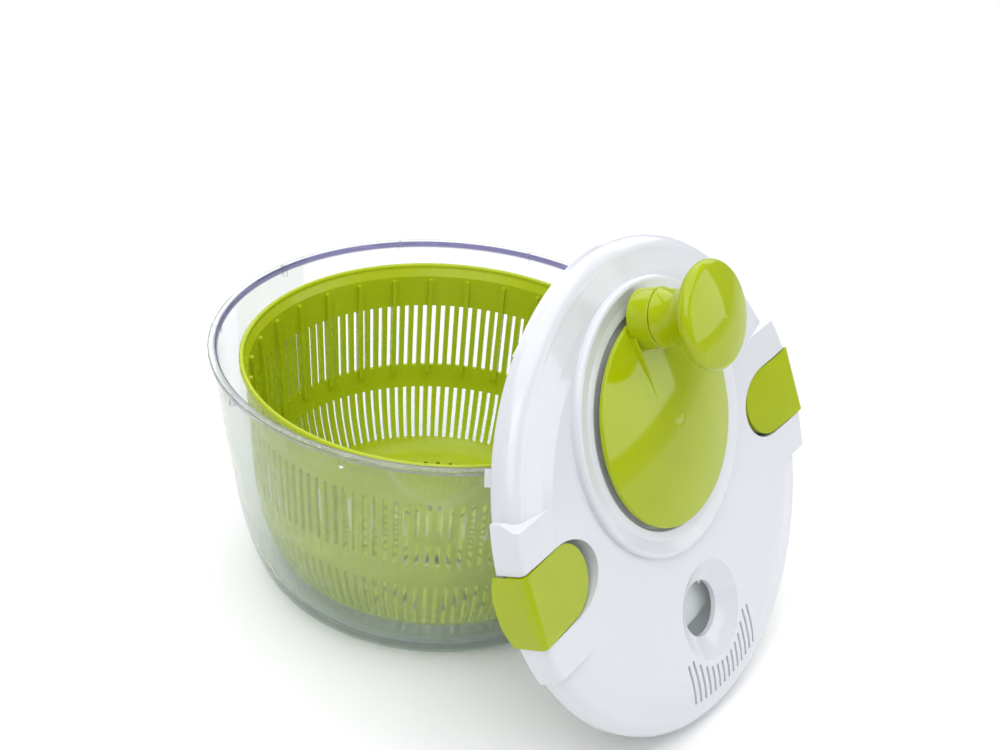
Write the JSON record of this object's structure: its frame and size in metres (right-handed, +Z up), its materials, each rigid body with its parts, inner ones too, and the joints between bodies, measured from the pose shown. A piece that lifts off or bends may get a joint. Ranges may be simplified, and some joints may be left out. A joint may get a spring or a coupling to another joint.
{
  "type": "salad spinner",
  "caption": "Hand-cranked salad spinner: clear bowl, green slotted basket, and a white lid with crank, drain hole and side latches, shown off the bowl and leaning on its rim.",
  "frame": {"origin": "centre of the bowl's foot ring, on the surface it stands on", "axes": "+Z up along the bowl's axis; +Y away from the front; the lid leans on the rim at the front right"},
  "size_m": [0.3153, 0.3204, 0.2367],
  "materials": {
    "clear_plastic": "clear, polished",
    "green_plastic": "gloss lime green",
    "white_plastic": "gloss white",
    "frosted_plastic": "frosted, slightly green",
    "white_acetal": "satin",
    "steel": "satin"
  },
  "bodies": {
    "bowl": {"outer_bowl": "clear_plastic", "pivot_pin": "steel"},
    "pivot": {"pivot_cap": "white_acetal"},
    "basket": {"basket": "green_plastic"},
    "ball": {"thrust_ball": "steel"},
    "lid": {"lid_shell": "white_plastic", "gear_cover": "white_plastic", "gear_cover_screws": "steel", "crank_bush": "white_acetal", "drive_bush": "white_acetal", "latch_pins": "steel"},
    "crank": {"crank_disc": "green_plastic", "crank_gear": "white_acetal", "crank_washer": "steel", "crank_screw": "steel", "knob_screw": "steel"},
    "knob": {"knob_body": "green_plastic", "knob_cap": "green_plastic"},
    "drive": {"drive_pinion": "white_acetal", "drive_plate": "frosted_plastic", "drive_plate_screw": "steel"},
    "latch_right": {"latch_right": "green_plastic"},
    "latch_left": {"latch_left": "green_plastic"}
  },
  "joints": [
    {"name": "basket_spin", "type": "hinge", "parent": "bowl", "child": "pivot", "pos_m": [0, 0, 0], "axis": [0, 0, 1], "continuous": true},
    {"name": "basket_lift", "type": "slide", "parent": "pivot", "child": "basket", "axis": [0, 0, 1], "range_m": [0, 0.035]},
    {"name": "lid_carry", "type": "hinge", "parent": "bowl", "child": "ball", "pos_m": [0.05865, -0.04841, 0.14585], "axis": [0.6366, 0.7712, 0], "range_deg": [-203.49, 0]},
    {"name": "lid_level", "type": "hinge", "parent": "ball", "child": "lid", "pos_m": [0.11243, -0.09281, 0.11554], "axis": [-0.5762, -0.8167, -0.0328], "range_deg": [-136.59, 0.2]},
    {"name": "crank_turn", "type": "hinge", "parent": "lid", "child": "crank", "pos_m": [0.0913, -0.07963, 0.14406], "axis": [0.7449, -0.5412, 0.3901], "continuous": true},
    {"name": "drive_spin", "type": "hinge", "parent": "lid", "child": "drive", "pos_m": [0.10368, -0.08645, 0.11095], "axis": [0.7449, -0.5412, 0.3901], "continuous": true},
    {"name": "knob_spin", "type": "hinge", "parent": "crank", "child": "knob", "pos_m": [0.0741, -0.07016, 0.19005], "axis": [0.7449, -0.5412, 0.3901], "continuous": true},
    {"name": "latch_right_open", "type": "hinge", "parent": "lid", "child": "latch_right", "pos_m": [0.17715, 0.00758, 0.11905], "axis": [0.3439, -0.1895, -0.9197], "range_deg": [0, 9]},
    {"name": "latch_left_open", "type": "hinge", "parent": "lid", "child": "latch_left", "pos_m": [0.04064, -0.18806, 0.10831], "axis": [-0.3439, 0.1895, 0.9197], "range_deg": [0, 9]}
  ],
  "couplings": [
    {"joint": "lid_level", "follows": "lid_carry", "ratio": 0.67026},
    {"joint": "drive_spin", "follows": "crank_turn", "ratio": -3}
  ]
}
